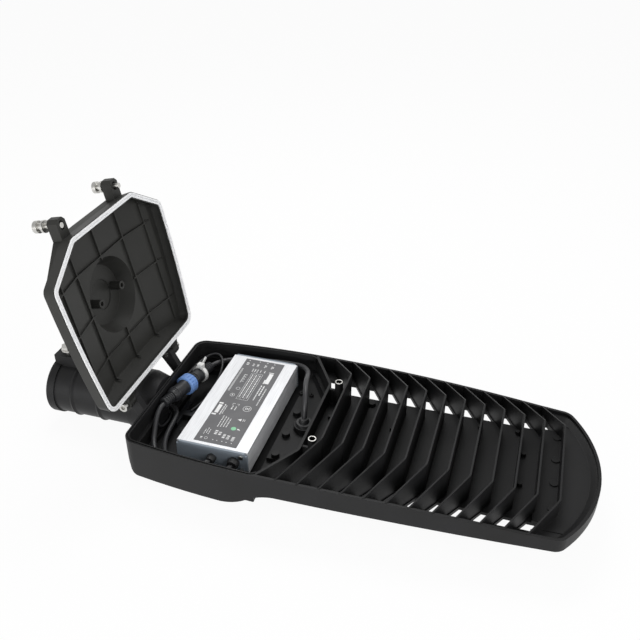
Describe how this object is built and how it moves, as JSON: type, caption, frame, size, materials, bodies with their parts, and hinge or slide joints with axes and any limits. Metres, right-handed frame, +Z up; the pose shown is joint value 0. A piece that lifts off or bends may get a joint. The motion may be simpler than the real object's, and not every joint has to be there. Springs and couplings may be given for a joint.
{
  "type": "led street light head",
  "caption": "Flat street lamp head with finned top, round pole socket and a hinged lid open over its driver and wiring",
  "frame": {"origin": "centre of the pole socket's open mouth, on the socket's axis", "axes": "+X from the socket's mouth along the head to its round nose, +Y across the head to the far side of the picture, +Z up out of the fins"},
  "size_m": [0.643, 0.2274, 0.2946],
  "materials": {
    "housing_paint": "satin black powder coat",
    "stainless": "stainless steel",
    "blackened_steel": "blackened screws",
    "driver_aluminium": "clear anodised",
    "end_plate_paint": "satin blue grey",
    "label_film": "matt printed film",
    "black_rubber": "matt",
    "cable_sheath": "satin flexible sheath",
    "black_plastic": "moulded, matt",
    "blue_plastic": "moulded, matt",
    "white_plastic": "moulded",
    "white_silicone": "smooth silicone",
    "clear_lens": "clear moulded lens",
    "board_white": "solder mask"
  },
  "bodies": {
    "housing": {"cable_bracket": "black_plastic", "cable_tie": "white_plastic", "connector_plug": "black_plastic", "connector_socket": "black_plastic", "coupling_ring": "blue_plastic", "driver_case": "driver_aluminium", "driver_end_plate_far": "end_plate_paint", "driver_end_plate_near": "end_plate_paint", "driver_end_screws": "stainless", "driver_input_bush": "black_rubber", "driver_label": "label_film", "driver_mounting_screws": "stainless", "driver_output_bush": "black_rubber", "floor_grommet": "black_rubber", "hinge_screws": "stainless", "input_cable": "cable_sheath", "led_board_front": "board_white", "led_board_rear": "board_white", "lens_gasket_front": "black_rubber", "lens_gasket_rear": "black_rubber", "lens_plate_front": "clear_lens", "lens_plate_rear": "clear_lens", "lens_screws": "stainless", "main_housing": "housing_paint", "module_cable": "cable_sheath", "output_cable": "cable_sheath", "plug_strain_relief": "black_plastic", "pole_set_screws": "stainless", "pole_socket": "housing_paint", "rear_grommet": "black_rubber", "socket_screws": "blackened_steel", "socket_strain_relief": "black_plastic", "thin_wire": "cable_sheath"},
    "lid": {"lid_cover": "housing_paint", "lid_gasket": "white_silicone", "lid_screw_near": "stainless", "lid_screw_far": "stainless"}
  },
  "joints": [
    {"name": "lid_hinge", "type": "hinge", "parent": "housing", "child": "lid", "pos_m": [0.126, 0, 0.0383], "axis": [0, 1, 0], "range_deg": [0, 102]}
  ]
}
